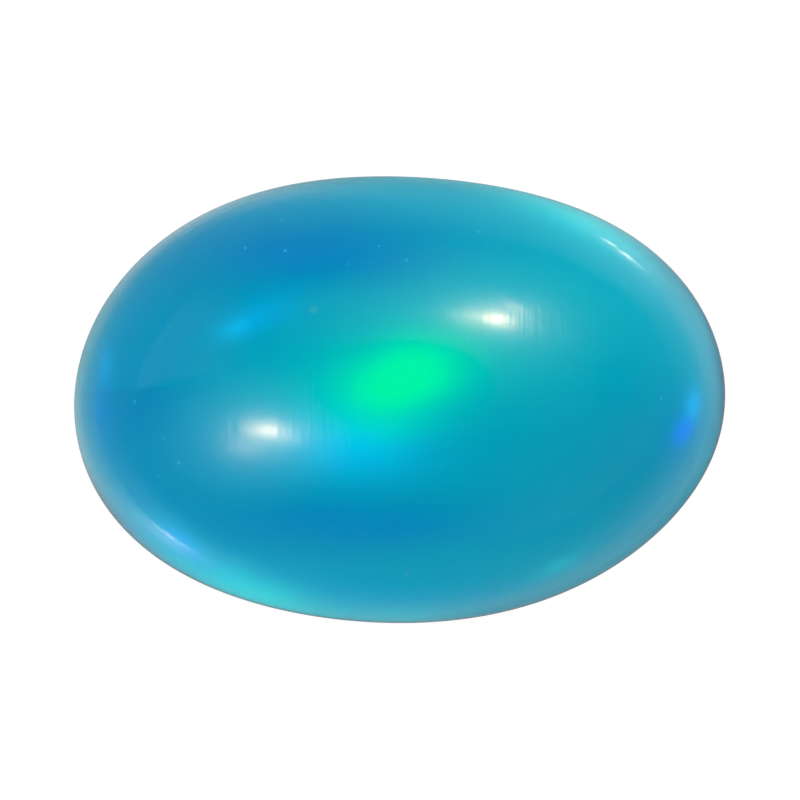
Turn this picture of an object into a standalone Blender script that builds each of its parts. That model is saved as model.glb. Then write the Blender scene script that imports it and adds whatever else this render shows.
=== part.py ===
"""Oval cabochon of Ethiopian opal, cut by hand and polished.

The stone is one solid. It has a flat back, a rounded lower edge, a girdle low on its side, where it is widest,
and a high dome over that, whose top lies a little off the middle. It lies on its back: +X runs along the stone,
+Y across it, and +Z up from the back. The origin is at the middle of the back. Units are metres.
"""

import math

import bpy

# Sizes over everything
LENGTH = 0.0102
WIDTH = 0.0070
HEIGHT = 0.0046

# The girdle's height above the back, and how far the back's edge lies inside it, as a share of a half size
GIRDLE_HEIGHT = 0.00075
BACK_INSET = 0.12

# How far the dome's top lies from the middle, along X and Y
TOP_OFFSET = (-0.00015, 0.0004)

# The slow waves around a hand-cut edge: crests in one turn, height as a share of the half size, and the
# direction of one crest in degrees
EDGE_WAVES = (
    (2, 0.0065, 45.0),
    (3, 0.0055, 7.0),
    (4, 0.010, 37.0),
    (5, 0.0025, -15.0),
    (6, 0.0025, -9.0),
)

# Facets of the solid
TURN_STEPS = 128
DOME_STEPS = 28
LOWER_EDGE_STEPS = 7

MERGE_DISTANCE = 1e-7
SHARP_ANGLE = math.radians(35)

# Polished opal, in linear colour
BODY_COLOUR = (0.004, 0.33, 0.47, 1.0)
POLISH_ROUGHNESS = 0.06


def clear_scene():
    for old in list(bpy.data.objects):
        bpy.data.objects.remove(old)


def profile_points():
    """The half section of a round stone of radius 1, from the dome's top down its outer side to the back."""
    dome_height = HEIGHT - GIRDLE_HEIGHT
    points = []
    for step in range(DOME_STEPS + 1):
        lean = math.pi / 2 * step / DOME_STEPS
        points.append((math.sin(lean), 0.0, GIRDLE_HEIGHT + dome_height * math.cos(lean)))
    for step in range(1, LOWER_EDGE_STEPS + 1):
        turn = math.pi / 2 * step / LOWER_EDGE_STEPS
        inset = BACK_INSET * (1.0 - math.cos(turn))
        points.append((1.0 - inset, 0.0, GIRDLE_HEIGHT * (1.0 - math.sin(turn))))
    points.append((0.0, 0.0, 0.0))
    return points


def turned_mesh(name):
    """The profile turned once about Z, as a mesh."""
    points = profile_points()
    profile = bpy.data.meshes.new(name + "_profile")
    profile.from_pydata(points, [(i, i + 1) for i in range(len(points) - 1)], [])
    turned = bpy.data.objects.new(name + "_profile", profile)
    bpy.context.scene.collection.objects.link(turned)

    screw = turned.modifiers.new("Turn", "SCREW")
    screw.axis = "Z"
    screw.angle = math.tau
    screw.steps = TURN_STEPS
    screw.render_steps = TURN_STEPS
    screw.use_merge_vertices = True
    screw.merge_threshold = MERGE_DISTANCE

    depsgraph = bpy.context.evaluated_depsgraph_get()
    mesh = bpy.data.meshes.new_from_object(turned.evaluated_get(depsgraph))
    mesh.name = name
    bpy.data.objects.remove(turned)
    bpy.data.meshes.remove(profile)
    return mesh


def edge_swell(direction):
    """How far the hand-cut edge stands out of a true oval in this direction, as a share of the half size."""
    return sum(height * math.cos(crests * (direction - math.radians(crest)))
               for crests, height, crest in EDGE_WAVES)


def cut_to_oval(mesh):
    """Gives the round stone its hand-cut oval plan, centred, with the length and width over everything."""
    for vertex in mesh.vertices:
        out = math.hypot(vertex.co.x, vertex.co.y)
        direction = math.atan2(vertex.co.y, vertex.co.x)
        swollen = 1.0 + edge_swell(direction) * out ** 2
        vertex.co.x *= swollen
        vertex.co.y *= swollen
    for axis, size in ((0, LENGTH), (1, WIDTH)):
        low = min(vertex.co[axis] for vertex in mesh.vertices)
        high = max(vertex.co[axis] for vertex in mesh.vertices)
        for vertex in mesh.vertices:
            vertex.co[axis] = (vertex.co[axis] - (low + high) / 2) * size / (high - low)


def move_top(mesh):
    """Leans the dome so that its top lies off the middle, and the girdle and the back stay where they are."""
    for vertex in mesh.vertices:
        rise = max(vertex.co.z - GIRDLE_HEIGHT, 0.0) / (HEIGHT - GIRDLE_HEIGHT)
        vertex.co.x += TOP_OFFSET[0] * rise ** 2
        vertex.co.y += TOP_OFFSET[1] * rise ** 2


def opal_material():
    material = bpy.data.materials.new("polished_opal")
    material.use_nodes = True
    shader = material.node_tree.nodes["Principled BSDF"]
    shader.inputs["Base Color"].default_value = BODY_COLOUR
    shader.inputs["Roughness"].default_value = POLISH_ROUGHNESS
    shader.inputs["Metallic"].default_value = 0.0
    material.diffuse_color = BODY_COLOUR
    return material


def make_cabochon(collection):
    mesh = turned_mesh("cabochon")
    cut_to_oval(mesh)
    move_top(mesh)
    mesh.materials.append(opal_material())
    mesh.shade_smooth()
    mesh.set_sharp_from_angle(angle=SHARP_ANGLE)
    cabochon = bpy.data.objects.new("cabochon", mesh)
    collection.objects.link(cabochon)


def main():
    clear_scene()
    collection = bpy.data.collections.new("ethiopian_opal")
    bpy.context.scene.collection.children.link(collection)
    make_cabochon(collection)


main()
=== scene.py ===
"""Looks of an Ethiopian opal: an oval cabochon of translucent blue-green opal on a pale studio floor.

The stone is one piece. Its form is turned from a half section and then cut to its hand-made oval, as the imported
solid is, with a finer surface. Its colours are a field in space, measured in millimetres from the middle of its
back: a body that goes from blue to teal, and flashes of purer colour that float in it.
"""

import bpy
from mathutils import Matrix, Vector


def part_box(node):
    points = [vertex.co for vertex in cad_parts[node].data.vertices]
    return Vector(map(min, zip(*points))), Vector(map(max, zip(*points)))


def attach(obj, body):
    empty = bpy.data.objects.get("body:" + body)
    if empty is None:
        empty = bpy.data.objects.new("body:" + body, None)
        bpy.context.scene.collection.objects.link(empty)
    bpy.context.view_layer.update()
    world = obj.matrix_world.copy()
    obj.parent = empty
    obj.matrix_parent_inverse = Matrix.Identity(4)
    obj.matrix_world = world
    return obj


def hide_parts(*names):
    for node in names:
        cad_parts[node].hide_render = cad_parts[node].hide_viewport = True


bl_info = {
    "name": "Ethiopian Opal Cabochon",
    "version": (1, 0, 0),
    "blender": (4, 5, 0),
    "location": "View3D > Sidebar > Opal",
    "description": "Cuts an oval opal cabochon, colours it and sets it on a studio floor",
    "category": "Add Mesh",
}

import math
from collections import namedtuple

import bmesh
import bpy
from mathutils import Vector

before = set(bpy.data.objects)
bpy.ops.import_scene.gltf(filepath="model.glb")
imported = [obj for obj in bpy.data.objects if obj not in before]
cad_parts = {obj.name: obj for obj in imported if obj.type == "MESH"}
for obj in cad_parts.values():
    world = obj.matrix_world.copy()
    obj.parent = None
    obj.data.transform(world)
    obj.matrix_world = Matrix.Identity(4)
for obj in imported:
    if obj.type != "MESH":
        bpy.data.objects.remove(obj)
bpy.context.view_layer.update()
STONE_SIZE = [high - low for low, high in zip(*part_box("cabochon"))]

MM = 0.001
WHITE = (1.0, 1.0, 1.0, 1.0)

# The settings of a node that mixes two colours, and of one that makes a smooth step from a range of values
COLOUR_MIX = {"data_type": "RGBA"}
SMOOTH_STEP = {"interpolation_type": "SMOOTHSTEP"}

# The slow waves around the hand-cut edge: crests in one turn, height as a share of the half size, and the
# direction of one crest in degrees
EDGE_WAVES = (
    (2, 0.0065, 45.0),
    (3, 0.0055, 7.0),
    (4, 0.010, 37.0),
    (5, 0.0025, -15.0),
    (6, 0.0025, -9.0),
)

# Points of the round stone of radius 1 that lie closer together than this become one
MERGE_DISTANCE = 1e-5

# The photo's frame in pixels, and the box of the stone in it, which the camera is set by
PHOTO_SIDE = 800
STONE_LEFT, STONE_RIGHT = 74.6, 724.8
STONE_TOP, STONE_BOTTOM = 176.7, 622.8

# The nearest and the farthest that the camera sees, as shares of its distance
CLIP_NEAR, CLIP_FAR = 0.1, 100.0


def linear(hex_colour):
    """An sRGB hex colour as the linear colour that a shader takes."""
    def channel(pair):
        value = int(pair, 16) / 255
        return value / 12.92 if value <= 0.04045 else ((value + 0.055) / 1.055) ** 2.4
    return tuple(channel(hex_colour[i:i + 2]) for i in (1, 3, 5))


def add_node(tree, kind, settings=None, inputs=None):
    """Adds a node with its settings. An input takes a value, or the output of another node that feeds it."""
    node = tree.nodes.new(kind)
    for name, value in (settings or {}).items():
        setattr(node, name, value)
    for socket, value in (inputs or {}).items():
        if isinstance(value, bpy.types.NodeSocket):
            tree.links.new(value, node.inputs[socket])
        else:
            node.inputs[socket].default_value = value
    return node


class StoneShape(bpy.types.PropertyGroup):
    length: bpy.props.FloatProperty(
        name="Length", description="Length over everything, along X",
        default=STONE_SIZE[0], min=0.001, max=0.1, unit="LENGTH", precision=5)
    width: bpy.props.FloatProperty(
        name="Width", description="Width over everything, along Y",
        default=STONE_SIZE[1], min=0.001, max=0.1, unit="LENGTH", precision=5)
    height: bpy.props.FloatProperty(
        name="Height", description="Height from the back to the top of the dome",
        default=STONE_SIZE[2], min=0.0005, max=0.05, unit="LENGTH", precision=5)
    girdle_height: bpy.props.FloatProperty(
        name="Girdle Height", description="Height of the stone's widest line above its back",
        default=0.00075, min=0.0001, max=0.01, unit="LENGTH", precision=5)
    back_inset: bpy.props.FloatProperty(
        name="Back Inset", description="How far the back's edge lies inside the girdle, as a share of a half size",
        default=0.12, min=0.0, max=0.5, subtype="FACTOR")
    top_offset: bpy.props.FloatVectorProperty(
        name="Top Offset", description="How far the dome's top lies from the middle, along X and Y",
        default=(-0.00015, 0.0004), size=2, unit="LENGTH", precision=5)
    steps_around: bpy.props.IntProperty(
        name="Steps Around", description="Faces in one turn", default=288, min=24, max=512)
    dome_steps: bpy.props.IntProperty(
        name="Dome Steps", description="Faces from the dome's top to the girdle", default=120, min=8, max=256)
    edge_steps: bpy.props.IntProperty(
        name="Edge Steps", description="Faces from the girdle to the back", default=24, min=3, max=64)


def half_section(shape):
    """The half section of a round stone of radius 1, as radius and height, from the top down to the back."""
    dome = shape.height - shape.girdle_height
    points = []
    for step in range(shape.dome_steps + 1):
        lean = math.pi / 2 * step / shape.dome_steps
        points.append((math.sin(lean), shape.girdle_height + dome * math.cos(lean)))
    for step in range(1, shape.edge_steps + 1):
        turn = math.pi / 2 * step / shape.edge_steps
        inset = shape.back_inset * (1.0 - math.cos(turn))
        points.append((1.0 - inset, shape.girdle_height * (1.0 - math.sin(turn))))
    points.append((0.0, 0.0))
    return points


def edge_swell(direction):
    """How far the hand-cut edge stands out of a true oval in this direction, as a share of the half size."""
    return sum(height * math.cos(crests * (direction - math.radians(crest)))
               for crests, height, crest in EDGE_WAVES)


def cut_to_oval(bm, shape):
    """Gives the round stone its oval plan, with the length and width over everything, and moves its top."""
    top = Vector((*shape.top_offset, 0.0))
    for vert in bm.verts:
        out = math.hypot(vert.co.x, vert.co.y)
        swollen = 1.0 + edge_swell(math.atan2(vert.co.y, vert.co.x)) * out ** 2
        vert.co.x *= swollen
        vert.co.y *= swollen
    for axis, size in ((0, shape.length), (1, shape.width)):
        low = min(vert.co[axis] for vert in bm.verts)
        high = max(vert.co[axis] for vert in bm.verts)
        for vert in bm.verts:
            vert.co[axis] = (vert.co[axis] - (low + high) / 2) * size / (high - low)
    for vert in bm.verts:
        rise = (vert.co.z - shape.girdle_height) / (shape.height - shape.girdle_height)
        vert.co += top * max(rise, 0.0) ** 2


def stone_mesh(name, shape):
    bm = bmesh.new()
    chain = [bm.verts.new((radius, 0.0, height)) for radius, height in half_section(shape)]
    edges = [bm.edges.new(pair) for pair in zip(chain, chain[1:])]
    bmesh.ops.spin(bm, geom=chain + edges, axis=(0.0, 0.0, 1.0), cent=(0.0, 0.0, 0.0), dvec=(0.0, 0.0, 0.0),
                   angle=math.tau, steps=shape.steps_around, use_merge=True)
    bmesh.ops.remove_doubles(bm, verts=bm.verts, dist=MERGE_DISTANCE)
    cut_to_oval(bm, shape)
    bmesh.ops.recalc_face_normals(bm, faces=bm.faces)
    mesh = bpy.data.meshes.new(name)
    bm.to_mesh(mesh)
    bm.free()
    mesh.shade_smooth()
    return mesh


def colour_property(name, description, hex_colour):
    return bpy.props.FloatVectorProperty(
        name=name, description=description, default=linear(hex_colour), size=3, subtype="COLOR", min=0.0, max=1.0)


class OpalColours(bpy.types.PropertyGroup):
    blue: colour_property("Blue Body", "The body on the stone's left", "#0096C4")
    teal: colour_property("Teal Body", "The body on the stone's upper right", "#00ABC5")
    # Painted light: paler low on the dome, standing in for light that comes through the thin edge
    painted_milk: colour_property("Milk", "The paler body low on the dome", "#00A8CC")
    edge: colour_property("Edge", "The greener body by the girdle", "#009CB0")
    # Painted shade: the dark line along the girdle, where the steep skin by the table lets out little light
    rim_shade: colour_property("Rim", "The dark line along the girdle, on the lower side and at the right", "#005C73")
    # Painted shade: darker strips inside the edge, and faint painted shadows on the dome
    shade: colour_property("Shade", "The dull blue strips inside the edge", "#006A92")
    deep: colour_property("Deep Blue", "The wide band where the body is deep, and the step at the left", "#0084BA")
    indigo: colour_property("Indigo", "The bands of purest blue", "#0080D8")
    smoke: colour_property("Smoke", "The dull lower right", "#0096BC")
    # Partly the body's colour and partly painted light: a glow around the lower left highlight and along the edge
    haze: colour_property("Haze", "The pale blue haze, most of it at the lower left", "#00BCE4")
    # Partly the opal's fire and partly painted light: the lamps' light shining through the stone to its edge
    turquoise: colour_property("Turquoise", "The glow along the edge", "#00E0E8")
    lagoon: colour_property("Lagoon", "The wide glow around the green heart, and faint ones below it", "#00C0CC")
    green: colour_property("Green Fire", "The green heart of the dome", "#00FFB4")
    cyan: colour_property("Cyan Fire", "The cyan flashes", "#00CCFC")
    sky: colour_property("Sky Fire", "The light blue flashes", "#00B8F8")
    violet: colour_property("Violet Fire", "The blue-violet flashes at the two ends", "#0A90FF")
    chalk: colour_property("Chalk", "The pale specks", "#38C4F0")
    iron: colour_property("Iron", "The brown specks of host rock", "#50B4BC")
    fire: bpy.props.FloatProperty(
        name="Fire", description="How strongly the flashes show", default=1.0, min=0.0, max=1.0, subtype="FACTOR")
    # Painted glow: the stone's colours also given out as light, though it is no lamp, standing in for light
    # scattered inside it
    glow: bpy.props.FloatProperty(
        name="Glow", description="Light scattered inside the stone, as a share of its colours",
        default=0.25, min=0.0, max=1.0, subtype="FACTOR")
    depth: bpy.props.FloatProperty(
        name="Light Depth", description="How far light travels in the stone", default=0.003, min=0.0001, max=0.01,
        unit="LENGTH", precision=5)


# Colours that come in slowly over the blue body: the place in millimetres where each starts and where it is full,
# and how much of the colour under it it takes over. The teal comes in along this direction seen from above, and
# the others low on the dome, by their height over the back. The paler milk low on the dome is painted light, and
# the dark rim is painted shade along the girdle.
TEAL_WAY = math.radians(35)
TEAL = (-3.5, 3.5, 1.0)
# Painted light: the paler milk low on the dome
PAINTED_MILK = (2.8, 0.8, 0.5)
EDGE = (2.8, 1.3, 0.8)
# Painted shade: the dark rim low on the dome, by height over the back
RIM_SHADE = (1.5, 0.95, 0.8)

# The painted shade of the dark rim comes in towards this side of the stone, between these two places along it in
# millimetres
RIM_SIDE = math.radians(-70)
RIM_FROM, RIM_TO = -1.3, 0.4

# How far the body's colours are drawn out of their true shapes, and over what distance, in millimetres
DRIFT, DRIFT_LENGTH = 0.25, 1.8
DRIFT_DETAIL = 1.0

# A patch of colour in the stone: its colour, the place of its middle and its half sizes in millimetres, its turn
# in degrees seen from above, how much of the colour under it it takes over in its middle, and whether it is cut
# off along its middle line, as a flash is at the edge of a layer of the opal, so that only the -Y half is left
Flash = namedtuple("Flash", "colour place size turn strength halved", defaults=(False,))

# How soft that cut is, on each side of it, as a share of the patch's half size
HALVING_EDGE = 0.02

FLASHES = (
    # The wide bands and hazes of the body
    Flash("deep", (-1.5, 2.35, 3.6), (2.9, 0.75, 2.2), -2, 0.85),
    Flash("indigo", (-4.1, -0.2, 2.9), (0.8, 0.5, 1.5), 0, 0.15),
    Flash("indigo", (-1.1, 2.15, 3.8), (1.6, 0.4, 1.5), -2, 0.42),
    Flash("smoke", (3.9, -1.0, 3.0), (1.7, 1.9, 2.2), 10, 0.8),
    Flash("haze", (-1.4, -3.1, 2.0), (3.6, 0.9, 2.0), -8, 0.45),
    Flash("lagoon", (0.0, -2.5, 3.0), (2.4, 0.6, 2.0), 0, 0.2),
    # Painted light: a pale haze around the lower left highlight
    Flash("haze", (-2.2, -0.45, 3.7), (1.2, 0.75, 1.5), 0, 0.42),
    Flash("indigo", (-0.5, -1.85, 3.7), (1.8, 0.35, 1.5), 0, 0.4),
    # The wide glow around the green heart
    Flash("lagoon", (0.6, 0.7, 4.5), (2.6, 1.2, 2.0), 17, 0.8),
    Flash("lagoon", (-1.3, 0.1, 4.5), (1.4, 0.9, 2.0), 0, 0.45),
    # Glows inside the edge, partly the opal's fire and partly painted light of the lamps shining through the stone
    Flash("turquoise", (2.6, 2.87, 2.1), (1.3, 0.42, 1.0), -30, 0.62),
    Flash("turquoise", (-2.3, -2.95, 2.0), (1.15, 0.36, 1.2), -24, 0.85),
    Flash("turquoise", (0.1, -3.4, 1.5), (1.0, 0.15, 1.0), 0, 0.3),
    Flash("turquoise", (2.44, -2.53, 2.5), (0.4, 0.12, 0.4), 28, 0.3),
    Flash("haze", (-3.5, -2.15, 2.4), (0.8, 0.35, 1.2), -38, 0.6),
    # The green heart and the cyan flashes beside it
    Flash("cyan", (-0.7, -0.55, 4.4), (1.05, 0.62, 1.0), 5, 0.95),
    Flash("green", (0.03, 0.3, 4.6), (1.0, 0.56, 1.2), 15, 1.0),
    Flash("green", (-0.1, -0.42, 4.6), (0.9, 0.22, 1.0), 0, 0.14),
    Flash("cyan", (0.4, -1.0, 4.2), (1.0, 0.4, 1.0), 0, 0.12),
    # Small flashes away from the heart
    Flash("cyan", (-2.45, 1.1, 4.1), (0.32, 0.14, 0.8), 22, 0.5),
    Flash("sky", (-2.1, 1.27, 4.2), (0.65, 0.26, 0.8), 22, 0.45),
    Flash("sky", (-3.3, -2.18, 2.5), (0.42, 0.17, 0.5), -40, 0.85),
    Flash("sky", (-4.5, 0.5, 2.5), (0.13, 0.3, 0.5), 0, 0.35),
    Flash("violet", (-4.55, -0.15, 2.5), (0.15, 0.45, 0.6), 0, 0.2),
    Flash("indigo", (4.3, -0.5, 2.6), (0.4, 0.6, 0.8), -15, 0.3),
    Flash("sky", (4.44, -0.12, 2.5), (0.14, 0.28, 0.5), -10, 0.85),
    Flash("violet", (4.27, -0.5, 2.6), (0.15, 0.22, 0.5), -18, 0.95),
    # Painted shade: darker strips inside the edge, the dark line by the girdle at the right, and faint painted
    # shadows on the dome
    Flash("shade", (5.05, 0.45, 1.2), (0.35, 1.45, 0.7), 0, 0.7),
    Flash("shade", (-4.3, -2.0, 1.0), (1.9, 0.45, 0.4), -42, 0.45),
    Flash("shade", (-4.8, -1.8, 1.3), (1.2, 0.4, 0.7), -50, 0.85),
    Flash("shade", (4.8, 1.7, 1.4), (1.3, 0.45, 0.9), -50, 0.3),
    Flash("shade", (-3.4, 1.7, 3.0), (0.8, 0.5, 1.2), 10, 0.10),
    Flash("shade", (-0.4, 2.1, 3.9), (1.4, 0.35, 1.5), 0, 0.08),
    Flash("shade", (4.3, 1.7, 2.2), (0.6, 0.7, 1.0), 0, 0.08),
    Flash("rim_shade", (5.0, 1.0, 0.9), (0.6, 1.3, 0.3), 15, 0.6),
    Flash("shade", (1.2, -3.55, 1.4), (2.0, 0.45, 0.9), 8, 0.3),
    # Faint glows along the upper and the lower edge, and at the lower left: painted light that comes through the
    # thin edge
    Flash("turquoise", (1.3, 3.55, 1.3), (1.9, 0.4, 0.8), -10, 0.4),
    Flash("haze", (0.3, 3.6, 1.2), (2.2, 0.45, 0.8), -4, 0.3),
    Flash("haze", (-3.2, 2.9, 1.1), (3.0, 0.5, 0.6), 38, 0.25),
    Flash("turquoise", (-2.0, -3.3, 1.3), (1.0, 0.3, 0.6), -20, 0.4),
    Flash("haze", (-2.55, -2.6, 2.0), (0.6, 0.6, 1.0), 0, 0.25),
    Flash("haze", (-2.5, -1.2, 3.0), (0.9, 0.5, 1.5), 0, 0.10),
    Flash("lagoon", (-0.8, -3.3, 1.6), (1.4, 0.5, 1.0), -6, 0.25),
    # The straight step in the colour at the left
    Flash("deep", (-4.0, 0.2, 3.2), (0.9, 0.9, 2.0), 4.3, 0.4, True),
)

# Specks in the surface, seen from above: place and radius in millimetres, with the softness of their edge in
# millimetres and how much of the colour under them they take over
PALE_SPECKS = (
    (-1.01, 3.05, 0.014), (-1.78, 2.73, 0.016), (-1.72, 2.24, 0.022), (-2.33, 2.29, 0.016), (-0.76, 2.03, 0.012),
    (-0.31, 2.30, 0.013), (0.10, 2.09, 0.020), (1.20, 2.53, 0.020), (-3.56, -0.58, 0.016), (-3.33, -0.95, 0.030),
    (-3.66, -1.15, 0.012), (3.96, 0.02, 0.018), (-1.82, -2.76, 0.012), (-4.01, -0.03, 0.018),
)
BROWN_SPECKS = ((-1.28, 1.34, 0.055), (0.10, -2.64, 0.03))
PALE_EDGE, PALE_STRENGTH = 0.025, 0.55
BROWN_EDGE, BROWN_STRENGTH = 0.07, 0.3


def object_millimetres(tree):
    """The place on the piece in millimetres from its origin."""
    place = add_node(tree, "ShaderNodeTexCoord").outputs["Object"]
    return add_node(tree, "ShaderNodeVectorMath", {"operation": "SCALE"}, {0: place, "Scale": 1 / MM}).outputs[0]


def patch(tree, place, middle, size, turn, halved=False):
    """1 in the middle of a soft ellipsoid, falling to 0 around it, and 0 on its +Y half where it is halved."""
    local = add_node(tree, "ShaderNodeMapping", {"vector_type": "TEXTURE"}, {
        "Vector": place, "Location": middle, "Rotation": (0.0, 0.0, math.radians(turn)), "Scale": size}).outputs[0]
    away = add_node(tree, "ShaderNodeVectorMath", {"operation": "DOT_PRODUCT"}, {0: local, 1: local}).outputs[1]
    whole = add_node(tree, "ShaderNodeMath", {"operation": "POWER"}, {0: 1 / math.e, 1: away}).outputs[0]
    if not halved:
        return whole
    across = add_node(tree, "ShaderNodeSeparateXYZ", inputs={0: local}).outputs["Y"]
    return add_node(tree, "ShaderNodeMapRange", SMOOTH_STEP, {
        "Value": across, "From Min": HALVING_EDGE, "From Max": -HALVING_EDGE, "To Max": whole}).outputs["Result"]


def drifted(tree, place):
    """The place drawn a little aside by slow noise, so that no colour has too true a shape."""
    slow = add_node(tree, "ShaderNodeTexNoise", inputs={
        "Vector": place, "Scale": 1 / DRIFT_LENGTH, "Detail": DRIFT_DETAIL}).outputs["Color"]
    aside = add_node(tree, "ShaderNodeVectorMath", {"operation": "MULTIPLY_ADD"}, {
        0: slow, 1: (DRIFT,) * 3, 2: (-DRIFT / 2,) * 3}).outputs[0]
    return add_node(tree, "ShaderNodeVectorMath", {"operation": "ADD"}, {0: place, 1: aside}).outputs[0]


def body_layers(tree, place, fire):
    """The colours over the blue body, from the lowest up, each by its name and the share that it takes over."""
    along, aside = (add_node(tree, "ShaderNodeVectorMath", {"operation": "DOT_PRODUCT"}, {
        0: place, 1: (math.cos(way), math.sin(way), 0.0)}).outputs["Value"] for way in (TEAL_WAY, RIM_SIDE))
    height = add_node(tree, "ShaderNodeSeparateXYZ", inputs={0: place}).outputs["Z"]
    layers = []
    # The teal, then the painted light of the paler milk low on the dome, then the greener edge
    for name, value, (start, full, top) in (("teal", along, TEAL), ("painted_milk", height, PAINTED_MILK), ("edge", height, EDGE)):
        layers.append((name, add_node(tree, "ShaderNodeMapRange", SMOOTH_STEP, {
            "Value": value, "From Min": start, "From Max": full, "To Max": top}).outputs["Result"]))
    for flash in FLASHES:
        here = patch(tree, place, flash.place, flash.size, flash.turn, flash.halved)
        layers.append((flash.colour, add_node(tree, "ShaderNodeMath", {"operation": "MULTIPLY"}, {
            0: here, 1: flash.strength * fire}).outputs[0]))
    # The painted shade of the dark rim: low on the dome and towards one side
    start, full, top = RIM_SHADE
    low = add_node(tree, "ShaderNodeMapRange", SMOOTH_STEP, {
        "Value": height, "From Min": start, "From Max": full, "To Max": top}).outputs["Result"]
    layers.append(("rim_shade", add_node(tree, "ShaderNodeMapRange", SMOOTH_STEP, {
        "Value": aside, "From Min": RIM_FROM, "From Max": RIM_TO, "To Max": low}).outputs["Result"]))
    return layers


def specks(tree, place, spots, edge, strength):
    """The strength on each speck and 0 between them."""
    flat = add_node(tree, "ShaderNodeVectorMath", {"operation": "MULTIPLY"}, {
        0: place, 1: (1.0, 1.0, 0.0)}).outputs[0]
    nearest = 1.0
    for x, y, radius in spots:
        away = add_node(tree, "ShaderNodeVectorMath", {"operation": "DISTANCE"}, {
            0: flat, 1: (x, y, 0.0)}).outputs["Value"]
        outside = add_node(tree, "ShaderNodeMath", {"operation": "SUBTRACT"}, {0: away, 1: radius}).outputs[0]
        nearest = add_node(tree, "ShaderNodeMath", {"operation": "MINIMUM"}, {0: outside, 1: nearest}).outputs[0]
    return add_node(tree, "ShaderNodeMapRange", SMOOTH_STEP, {
        "Value": nearest, "From Min": edge / 2, "From Max": -edge / 2, "To Max": strength}).outputs["Result"]


def opal_colour(tree, place, colours):
    """The blue body with every colour that lies over it, the specks in the surface last."""
    layers = body_layers(tree, drifted(tree, place), colours.fire)
    layers.append(("chalk", specks(tree, place, PALE_SPECKS, PALE_EDGE, PALE_STRENGTH)))
    layers.append(("iron", specks(tree, place, BROWN_SPECKS, BROWN_EDGE, BROWN_STRENGTH)))
    colour = (*colours.blue, 1.0)
    for name, share in layers:
        colour = add_node(tree, "ShaderNodeMix", COLOUR_MIX, {
            "Factor": share, "A": colour, "B": (*getattr(colours, name), 1.0)}).outputs["Result"]
    return colour


# The marks of the polish: fine lines that run across the stone, and rings that hand grinding leaves along its
# edge. Each has its spacing along X, Y and Z in millimetres, the detail of its noise and its depth in metres. Real
# polishing lines lie closer together than a pixel of the photo, so these are as coarse as they need to be to show.
LINE_SPACING, LINE_DETAIL, LINE_DEPTH = (0.055, 0.7, 0.7), 0.0, 1.2e-6
RING_SPACING, RING_DETAIL, RING_DEPTH = (2.8, 2.8, 0.3), 2.0, 9e-6

# The dull breaths on the polish: their spacing in millimetres and the detail of their noise, the values of the
# noise where they start and where they are full, and the roughness between them and on them
BREATH_SPACING, BREATH_DETAIL = (1.2, 1.2, 1.2), 2.0
BREATH_FROM, BREATH_TO = 0.3, 0.7
CLEAR_ROUGHNESS, DULL_ROUGHNESS = 0.04, 0.09

OPAL_IOR = 1.43


def streaks(tree, place, spacing, detail):
    """Noise with this spacing along X, Y and Z in millimetres."""
    stretched = add_node(tree, "ShaderNodeVectorMath", {"operation": "DIVIDE"}, {0: place, 1: spacing}).outputs[0]
    return add_node(tree, "ShaderNodeTexNoise", inputs={
        "Vector": stretched, "Scale": 1.0, "Detail": detail}).outputs["Fac"]


def polish(tree, place):
    """The roughness and the normal of a hand-polished dome."""
    roughness = add_node(tree, "ShaderNodeMapRange", inputs={
        "Value": streaks(tree, place, BREATH_SPACING, BREATH_DETAIL),
        "From Min": BREATH_FROM, "From Max": BREATH_TO,
        "To Min": CLEAR_ROUGHNESS, "To Max": DULL_ROUGHNESS}).outputs["Result"]
    lined = add_node(tree, "ShaderNodeBump", inputs={
        "Height": streaks(tree, place, LINE_SPACING, LINE_DETAIL), "Distance": LINE_DEPTH}).outputs["Normal"]
    ringed = add_node(tree, "ShaderNodeBump", inputs={
        "Height": streaks(tree, place, RING_SPACING, RING_DETAIL), "Distance": RING_DEPTH,
        "Normal": lined}).outputs["Normal"]
    return roughness, ringed


def opal_material(colours):
    """Polished hydrophane opal: a waxy, glassy skin over a body that scatters light deep in it, with a painted
    glow of its own colours.
    """
    material = bpy.data.materials.new("polished_hydrophane_opal")
    material.use_nodes = True
    tree = material.node_tree
    tree.nodes.clear()
    place = object_millimetres(tree)
    colour = opal_colour(tree, place, colours)
    roughness, normal = polish(tree, place)
    shader = add_node(tree, "ShaderNodeBsdfPrincipled", inputs={
        "Base Color": colour,
        "Roughness": roughness,
        "Normal": normal,
        "IOR": OPAL_IOR,
        "Subsurface Weight": 1.0,
        "Subsurface Radius": (1.0, 1.0, 1.0),
        "Subsurface Scale": colours.depth,
        # Painted glow: the same colours given out as light, though the stone is no lamp
        "Emission Color": colour,
        "Emission Strength": colours.glow,
    })
    add_node(tree, "ShaderNodeOutputMaterial", inputs={"Surface": shader.outputs["BSDF"]})
    return material


class OPAL_OT_cut_cabochon(bpy.types.Operator):
    """Cut the opal cabochon and give it its polish and colours"""
    bl_idname = "opal.cut_cabochon"
    bl_label = "Cut Cabochon"

    def execute(self, context):
        mesh = stone_mesh("opal_cabochon", context.scene.stone_shape)
        mesh.materials.append(opal_material(context.scene.opal_colours))
        stone = bpy.data.objects.new("opal_cabochon", mesh)
        context.scene.collection.objects.link(stone)
        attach(stone, "root")
        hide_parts("cabochon")
        return {"FINISHED"}


class StudioStage(bpy.types.PropertyGroup):
    floor_side: bpy.props.FloatProperty(
        name="Floor Side", description="Side of the square floor", default=2.0, min=0.1, max=10.0, unit="LENGTH")
    focal_length: bpy.props.FloatProperty(
        name="Focal Length", description="The camera's focal length", default=200.0, min=20.0, max=600.0,
        unit="CAMERA")


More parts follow.
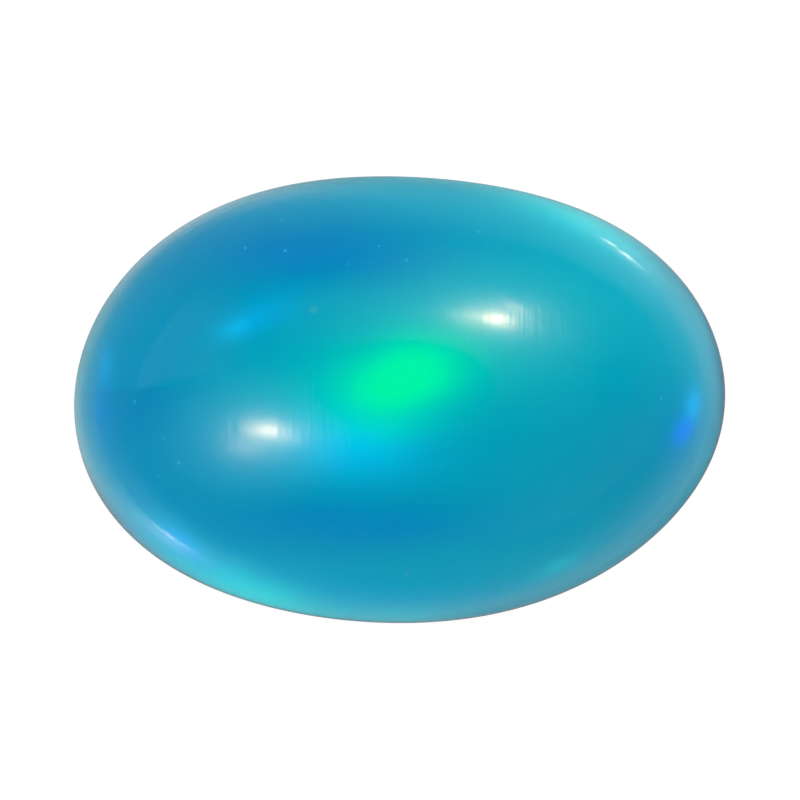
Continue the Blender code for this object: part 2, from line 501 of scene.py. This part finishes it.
def unit_direction(azimuth, zenith):
    """The direction that lies at this azimuth, and at this angle from straight up, both in degrees."""
    turn, lean = math.radians(azimuth), math.radians(zenith)
    return Vector((math.sin(lean) * math.cos(turn), math.sin(lean) * math.sin(turn), math.cos(lean)))


def make_floor(side):
    bm = bmesh.new()
    bmesh.ops.create_grid(bm, x_segments=1, y_segments=1, size=side / 2)
    mesh = bpy.data.meshes.new("floor")
    bm.to_mesh(mesh)
    bm.free()
    floor = bpy.data.objects.new("floor", mesh)
    bpy.context.scene.collection.objects.link(floor)
    return floor


# The warm white of all that the lamps light, and the warmer one of the lamps themselves, which is full at this
# radiance
LAMP_WHITE = (1.0, 0.86, 0.78, 1.0)
LAMP_GOLD = (1.0, 0.71, 0.45, 1.0)
LAMP_RADIANCE = 18.0

# The light table: its colour, its roughness and its own glow where it is seen, and the dim painted light that
# stands in for it where it is mirrored
TABLE_GREY = linear("#818181")
TABLE_ROUGHNESS = 0.9
TABLE_GLOW = 0.92
TABLE_RADIANCE = 0.14

# A painted pool of light on the table, seen only where it is mirrored in the stone, or painted shade where its
# radiance is below 0: its middle and its half sizes in millimetres, its turn in degrees and how bright it is in
# its middle
Pool = namedtuple("Pool", "middle size turn radiance")

POOLS = (
    # The wide glow under the stone
    Pool((0.0, 0.0), (18.0, 18.0), 0, 0.08),
    # Towards the upper right lamp
    Pool((7.2, 3.4), (1.9, 4.0), -8, 0.40),
    Pool((10.5, 9.0), (5.5, 4.0), 45, 0.24),
    Pool((5.3, 4.4), (1.1, 1.1), -20, 0.52),
    Pool((4.0, 4.0), (1.0, 0.8), 0, 0.16),
    # A painted reflection of that lamp in the table top
    Pool((4.70, 4.56), (0.22, 0.10), -8, 5.6),
    Pool((5.36, 4.50), (0.24, 0.11), -25, 6.4),
    Pool((5.85, 4.30), (0.25, 0.12), -45, 1.5),
    # Towards the lower left lamp
    Pool((-6.3, -3.5), (1.7, 4.0), 12, 0.42),
    Pool((-9.0, -6.5), (5.0, 4.0), 30, 0.20),
    Pool((-5.7, -4.7), (1.0, 0.7), -40, 0.75),
    Pool((-6.1, -5.5), (0.8, 0.6), -40, 0.3),
    # A painted reflection of that lamp in the table top
    Pool((-6.42, -4.99), (0.36, 0.07), -38, 6.5),
    Pool((-6.0, -5.16), (0.09, 0.08), 0, 10.0),
    Pool((-5.6, -5.27), (0.35, 0.12), -30, 1.2),
    # Softer light on the other sides
    Pool((-3.7, 3.15), (3.2, 0.8), 36, 0.32),
    Pool((-5.8, -0.6), (0.6, 2.4), 0, 0.21),
    Pool((6.0, -2.5), (6.0, 4.5), -20, 0.24),
    Pool((12.0, 4.0), (10.0, 12.0), 0, 0.12),
    Pool((1.5, -5.0), (4.0, 1.2), 8, 0.10),
    # Painted shade, most of it at the foot of the stone
    Pool((1.0, 4.6), (2.4, 1.2), 0, -0.05),
    Pool((0.0, -11.0), (3.5, 5.0), 0, -0.08),
    Pool((5.45, -0.6), (2.2, 0.82), 75, -0.32),
    Pool((6.4, -0.9), (0.5, 0.8), 0, -0.08),
    Pool((5.1, 1.6), (1.3, 0.5), 115, -0.24),
    Pool((4.3, -2.5), (1.6, 0.5), 40, -0.20),
    Pool((2.4, -3.6), (1.8, 0.5), 18, -0.16),
    Pool((-1.0, -3.7), (3.0, 0.4), -6, -0.07),
)


def floor_material():
    """A white light table: its own glow keeps the shadow of the stone faint. Mirrored in the stone it shows
    painted
    light instead: a dim glow, painted pools of light and shade, and painted reflections of the lamps."""
    material = bpy.data.materials.new("light_table")
    material.use_nodes = True
    tree = material.node_tree
    tree.nodes.clear()
    shown = add_node(tree, "ShaderNodeBsdfPrincipled", inputs={
        "Base Color": (*TABLE_GREY, 1.0), "Roughness": TABLE_ROUGHNESS, "Specular IOR Level": 0.0,
        "Emission Color": WHITE, "Emission Strength": TABLE_GLOW})
    place = object_millimetres(tree)
    light = TABLE_RADIANCE
    for pool in POOLS:
        here = patch(tree, place, (*pool.middle, 0.0), (*pool.size, 1.0), pool.turn)
        light = add_node(tree, "ShaderNodeMath", {"operation": "MULTIPLY_ADD"}, {
            0: here, 1: pool.radiance, 2: light}).outputs[0]
    mirrored = add_node(tree, "ShaderNodeEmission", inputs={"Color": LAMP_WHITE, "Strength": light})
    path = add_node(tree, "ShaderNodeLightPath")
    both = add_node(tree, "ShaderNodeMixShader", inputs={
        0: path.outputs["Is Glossy Ray"], 1: shown.outputs[0], 2: mirrored.outputs[0]})
    add_node(tree, "ShaderNodeOutputMaterial", inputs={"Surface": both.outputs[0]})
    return material


# The round opening over the stone that the camera looks through: azimuth and angle from straight up of its
# middle, its half width and the softness of its edge, in degrees, and the faint light in it
OPENING_MIDDLE = (302.0, 6.5)
OPENING_ANGLE = 24.0
OPENING_EDGE = 2.0
OPENING_LIGHT = (0.012, 0.012, 0.012, 1.0)

# A bright place in a lit sheet: azimuth and angle from straight up in degrees, how bright it is in its middle and
# how wide that middle is, in degrees. Its light goes by this power of 1 plus the square of the distance from its
# middle, as a number of such widths.
Glow = namedtuple("Glow", "place radiance spread")
GLOW_FALLOFF = -1.5

# A white sheet that hangs in the studio, seen from the stone: azimuth and angle from straight up of its middle,
# its half width and the softness of its edge, in degrees, its own faint light, the glows of the lamp behind it,
# and None or the direction to the side that is left where a straight edge cuts it
Sheet = namedtuple("Sheet", "middle half_width edge radiance glows kept_side")

SHEETS = (
    Sheet((58, 48), 32, 36, 0.12, (
        Glow((47.4, 44.2), 34.0, 4.2),
        Glow((53, 41.5), 7.0, 4.0),
        Glow((60, 40), 2.5, 4.0),
        Glow((49, 54), 7.0, 5.0),
        Glow((48, 46), 1.8, 13.0)), None),
    Sheet((212, 54), 24, 32, 0.12, (
        Glow((221.8, 43.6), 34.5, 2.95),
        Glow((216.5, 46), 7.5, 4.5),
        Glow((230, 41), 6.5, 5.0),
        Glow((223, 54), 4.0, 6.0),
        Glow((221, 48), 1.4, 13.0)), (175, 98)),
    Sheet((165, 75), 24, 20, 0.22, (), (89, 95)),
    Sheet((318, 78), 24, 30, 0.09, (), None),
    Sheet((108, 40), 16, 22, 0.09, (), None),
    Sheet((80, 72), 12, 16, 0.10, (), None),
    Sheet((354, 42), 12, 22, 0.09, (), None),
)

# The half width of the part of the sky that a straight edge leaves, and the softness of that edge, in degrees
HALF_SKY = 90.0
CUT_EDGE = 3.0

# The room's own faint light, overhead and at the horizon, with the height above the horizon, in degrees, where
# it starts to grow
ROOM_RADIANCE = 0.03
HORIZON_RADIANCE = 0.14
HORIZON_HEIGHT = 30.0


def closeness(tree, ray, direction):
    """The cosine of the angle between the ray and a direction."""
    return add_node(tree, "ShaderNodeVectorMath", {"operation": "DOT_PRODUCT"}, {
        0: ray, 1: unit_direction(*direction)}).outputs["Value"]


def disc(tree, ray, direction, half_width, edge):
    """1 inside a round patch of the sky and 0 outside it, with a soft edge of this width in degrees."""
    return add_node(tree, "ShaderNodeMapRange", SMOOTH_STEP, {
        "Value": closeness(tree, ray, direction),
        "From Min": math.cos(math.radians(half_width + edge / 2)),
        "From Max": math.cos(math.radians(half_width - edge / 2))}).outputs["Result"]


def lamp_glow(tree, ray, glow):
    """The light of one glow, full in its middle and falling off around it."""
    spread = 2.0 / math.radians(glow.spread) ** 2
    away = add_node(tree, "ShaderNodeMath", {"operation": "MULTIPLY_ADD"}, {
        0: closeness(tree, ray, glow.place), 1: -spread, 2: 1.0 + spread}).outputs[0]
    fall = add_node(tree, "ShaderNodeMath", {"operation": "POWER"}, {0: away, 1: GLOW_FALLOFF}).outputs[0]
    return add_node(tree, "ShaderNodeMath", {"operation": "MULTIPLY"}, {0: fall, 1: glow.radiance}).outputs[0]


def studio_light(tree, ray, mirrored):
    """The colour of the light from each direction: the room, its sheets and lamps, and the opening overhead. The
    lamps are warmer where they are mirrored."""
    up = closeness(tree, ray, (0.0, 0.0))
    light = add_node(tree, "ShaderNodeMapRange", SMOOTH_STEP, {
        "Value": up, "From Min": math.sin(math.radians(HORIZON_HEIGHT)), "From Max": 0.0,
        "To Min": ROOM_RADIANCE, "To Max": HORIZON_RADIANCE}).outputs["Result"]
    for sheet in SHEETS:
        share = disc(tree, ray, sheet.middle, sheet.half_width, sheet.edge)
        if sheet.kept_side:
            share = add_node(tree, "ShaderNodeMath", {"operation": "MULTIPLY"}, {
                0: share, 1: disc(tree, ray, sheet.kept_side, HALF_SKY, CUT_EDGE)}).outputs[0]
        own = sheet.radiance
        for glow in sheet.glows:
            own = add_node(tree, "ShaderNodeMath", {"operation": "ADD"}, {
                0: lamp_glow(tree, ray, glow), 1: own}).outputs[0]
        light = add_node(tree, "ShaderNodeMath", {"operation": "MULTIPLY_ADD"}, {
            0: share, 1: own, 2: light}).outputs[0]
    gold = add_node(tree, "ShaderNodeMapRange", SMOOTH_STEP, {
        "Value": light, "From Max": LAMP_RADIANCE, "To Max": mirrored}).outputs["Result"]
    tint = add_node(tree, "ShaderNodeMix", COLOUR_MIX, {
        "Factor": gold, "A": LAMP_WHITE, "B": LAMP_GOLD}).outputs["Result"]
    warm = add_node(tree, "ShaderNodeVectorMath", {"operation": "SCALE"}, {0: tint, "Scale": light}).outputs[0]
    opening = disc(tree, ray, OPENING_MIDDLE, OPENING_ANGLE, OPENING_EDGE)
    return add_node(tree, "ShaderNodeMix", COLOUR_MIX, {
        "Factor": opening, "A": warm, "B": OPENING_LIGHT}).outputs["Result"]


def lit_world():
    world = bpy.data.worlds.new("studio")
    bpy.context.scene.world = world
    world.use_nodes = True
    tree = world.node_tree
    tree.nodes.clear()
    ray = add_node(tree, "ShaderNodeTexCoord").outputs["Generated"]
    path = add_node(tree, "ShaderNodeLightPath")
    light = studio_light(tree, ray, path.outputs["Is Glossy Ray"])
    studio = add_node(tree, "ShaderNodeBackground", inputs={"Color": light})
    seen = add_node(tree, "ShaderNodeBackground", inputs={"Color": WHITE})
    both = add_node(tree, "ShaderNodeMixShader", inputs={
        0: path.outputs["Is Camera Ray"], 1: studio.outputs[0], 2: seen.outputs[0]})
    add_node(tree, "ShaderNodeOutputWorld", inputs={"Surface": both.outputs[0]})


def place_camera(stage, shape):
    """Looks straight down with the stone where the photo has it."""
    camera = bpy.data.cameras.new("camera")
    camera.lens = stage.focal_length
    metres_a_pixel = shape.length / (STONE_RIGHT - STONE_LEFT)
    seen_width = PHOTO_SIDE * metres_a_pixel
    distance = seen_width * camera.lens / camera.sensor_width
    middle_x = (STONE_LEFT + STONE_RIGHT) / 2
    middle_y = (STONE_TOP + STONE_BOTTOM) / 2
    holder = bpy.data.objects.new("camera", camera)
    holder.location = ((PHOTO_SIDE / 2 - middle_x) * metres_a_pixel,
                       (middle_y - PHOTO_SIDE / 2) * metres_a_pixel,
                       shape.girdle_height + distance)
    camera.clip_start = distance * CLIP_NEAR
    camera.clip_end = distance * CLIP_FAR
    bpy.context.scene.collection.objects.link(holder)
    bpy.context.scene.camera = holder


class OPAL_OT_set_stage(bpy.types.Operator):
    """Lay the floor, light the studio and hang the camera over the stone"""
    bl_idname = "opal.set_stage"
    bl_label = "Set Stage"

    def execute(self, context):
        stage = context.scene.studio_stage
        floor = make_floor(stage.floor_side)
        floor.data.materials.append(floor_material())
        lit_world()
        place_camera(stage, context.scene.stone_shape)
        context.scene.view_settings.view_transform = "Standard"
        return {"FINISHED"}


class OPAL_PT_workshop(bpy.types.Panel):
    bl_label = "Opal"
    bl_idname = "OPAL_PT_workshop"
    bl_space_type = "VIEW_3D"
    bl_region_type = "UI"
    bl_category = "Opal"

    def draw(self, context):
        scene = context.scene
        for group in (scene.stone_shape, scene.opal_colours, scene.studio_stage):
            box = self.layout.box()
            for name in group.bl_rna.properties.keys():
                if name not in ("rna_type", "name"):
                    box.prop(group, name)
        self.layout.operator(OPAL_OT_cut_cabochon.bl_idname)
        self.layout.operator(OPAL_OT_set_stage.bl_idname)


CLASSES = (StoneShape, OpalColours, StudioStage, OPAL_OT_cut_cabochon, OPAL_OT_set_stage, OPAL_PT_workshop)


def register():
    for cls in CLASSES:
        bpy.utils.register_class(cls)
    bpy.types.Scene.stone_shape = bpy.props.PointerProperty(type=StoneShape)
    bpy.types.Scene.opal_colours = bpy.props.PointerProperty(type=OpalColours)
    bpy.types.Scene.studio_stage = bpy.props.PointerProperty(type=StudioStage)


def unregister():
    del bpy.types.Scene.studio_stage
    del bpy.types.Scene.opal_colours
    del bpy.types.Scene.stone_shape
    for cls in reversed(CLASSES):
        bpy.utils.unregister_class(cls)


def main():
    register()
    bpy.ops.opal.cut_cabochon()
    bpy.ops.opal.set_stage()


if __name__ == "__main__":
    main()
